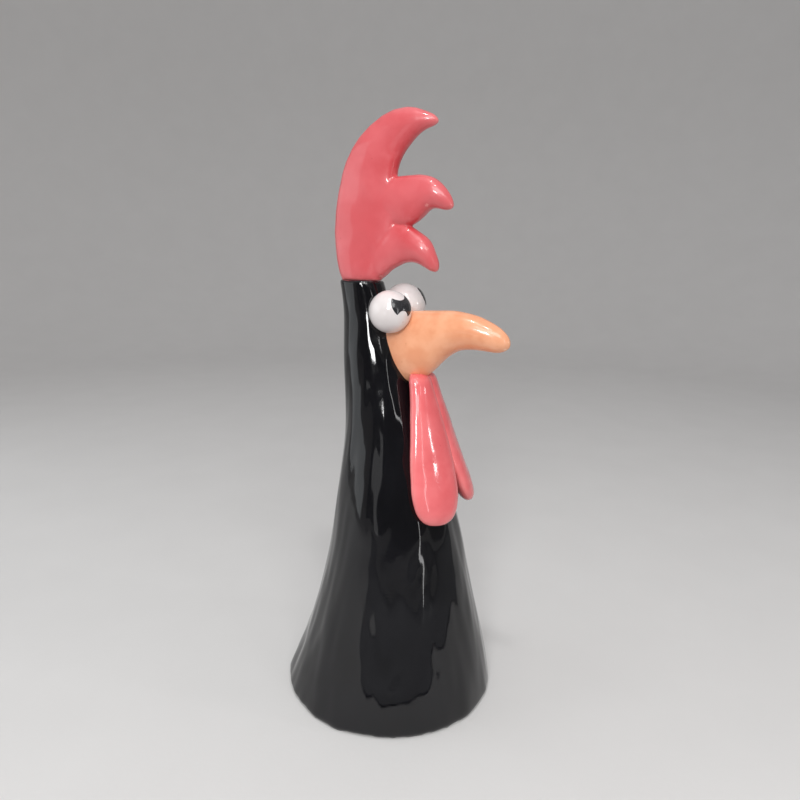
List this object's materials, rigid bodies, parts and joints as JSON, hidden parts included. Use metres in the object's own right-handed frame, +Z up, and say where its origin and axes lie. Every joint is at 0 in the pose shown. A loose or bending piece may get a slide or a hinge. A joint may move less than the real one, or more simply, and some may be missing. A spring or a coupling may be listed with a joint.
{
  "type": "comical ceramic rooster",
  "caption": "Glazed ceramic rooster ornament: hollow leaning cone body with a lobed comb, ball eyes, hooked beak and hanging wattles.",
  "frame": {"origin": "centre of the round foot rim, on the surface that the rooster stands on", "axes": "+Z up along the body; the rooster faces -Y, so its beak points to -Y; its own right side is -X"},
  "size_m": [0.0934, 0.0965, 0.2493],
  "materials": {
    "black_glaze": "glossy blue-black glaze",
    "comb_coral_glaze": "glossy coral red glaze",
    "white_glaze": "glossy white glaze",
    "pupil_black_glaze": "glossy black glaze",
    "orange_glaze": "glossy pale orange glaze",
    "wattle_coral_glaze": "glossy coral glaze"
  },
  "bodies": {
    "root": {"body_shell": "black_glaze", "comb": "comb_coral_glaze", "right_eye": "white_glaze", "left_eye": "white_glaze", "right_pupil": "pupil_black_glaze", "left_pupil": "pupil_black_glaze", "beak": "orange_glaze", "right_wattle": "wattle_coral_glaze", "left_wattle": "wattle_coral_glaze"}
  },
  "joints": []
}
